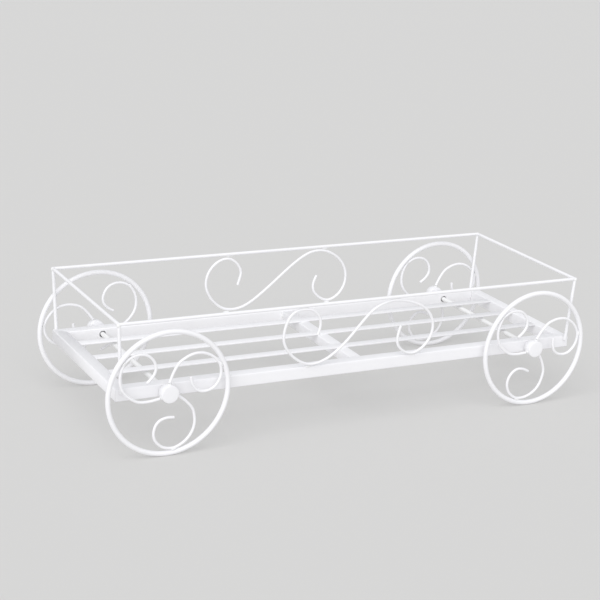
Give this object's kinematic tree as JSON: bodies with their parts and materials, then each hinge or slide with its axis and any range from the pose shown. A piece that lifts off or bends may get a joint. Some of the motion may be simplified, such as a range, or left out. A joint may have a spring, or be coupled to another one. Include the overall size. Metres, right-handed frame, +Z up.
{
  "type": "flower cart stand",
  "caption": "Low cart-shaped plant stand in white coated steel: open slatted tray, wire railing with side scrolls, and scroll-work wheels that turn.",
  "frame": {"origin": "bottom centre of the bounding box, on the floor between the four wheels", "axes": "+Z up, +X along the length of the cart, +Y across it towards the back"},
  "size_m": [0.866, 0.335, 0.2163],
  "materials": {
    "tray": "white powder coat, satin",
    "railing": "white powder coat, satin",
    "wheels": "white powder coat, satin",
    "axle_rod": "white powder coat, satin"
  },
  "bodies": {
    "frame": {"back_left_post": "railing", "back_rail": "tray", "back_right_post": "railing", "back_scroll": "railing", "back_slat": "tray", "back_top_rod": "railing", "cross_bar": "tray", "front_left_post": "railing", "front_rail": "tray", "front_right_post": "railing", "front_scroll": "railing", "front_slat": "tray", "front_top_rod": "railing", "left_end_rail": "tray", "left_top_rod": "railing", "middle_slat": "tray", "right_end_rail": "tray", "right_top_rod": "railing"},
    "left_axle_set": {"left_axle": "axle_rod", "front_left_spacer": "axle_rod", "front_left_ring": "wheels", "front_left_hub": "wheels", "front_left_wheel_scroll_1": "wheels", "front_left_wheel_scroll_2": "wheels", "front_left_wheel_scroll_3": "wheels", "back_left_spacer": "axle_rod", "back_left_ring": "wheels", "back_left_hub": "wheels", "back_left_wheel_scroll_1": "wheels", "back_left_wheel_scroll_2": "wheels", "back_left_wheel_scroll_3": "wheels"},
    "right_axle_set": {"right_axle": "axle_rod", "front_right_spacer": "axle_rod", "front_right_ring": "wheels", "front_right_hub": "wheels", "front_right_wheel_scroll_1": "wheels", "front_right_wheel_scroll_2": "wheels", "front_right_wheel_scroll_3": "wheels", "back_right_spacer": "axle_rod", "back_right_ring": "wheels", "back_right_hub": "wheels", "back_right_wheel_scroll_1": "wheels", "back_right_wheel_scroll_2": "wheels", "back_right_wheel_scroll_3": "wheels"}
  },
  "joints": [
    {"name": "left_axle_spin", "type": "hinge", "parent": "frame", "child": "left_axle_set", "pos_m": [-0.332, 0, 0.101], "axis": [0, 1, 0], "continuous": true},
    {"name": "right_axle_spin", "type": "hinge", "parent": "frame", "child": "right_axle_set", "pos_m": [0.332, 0, 0.101], "axis": [0, 1, 0], "continuous": true}
  ]
}
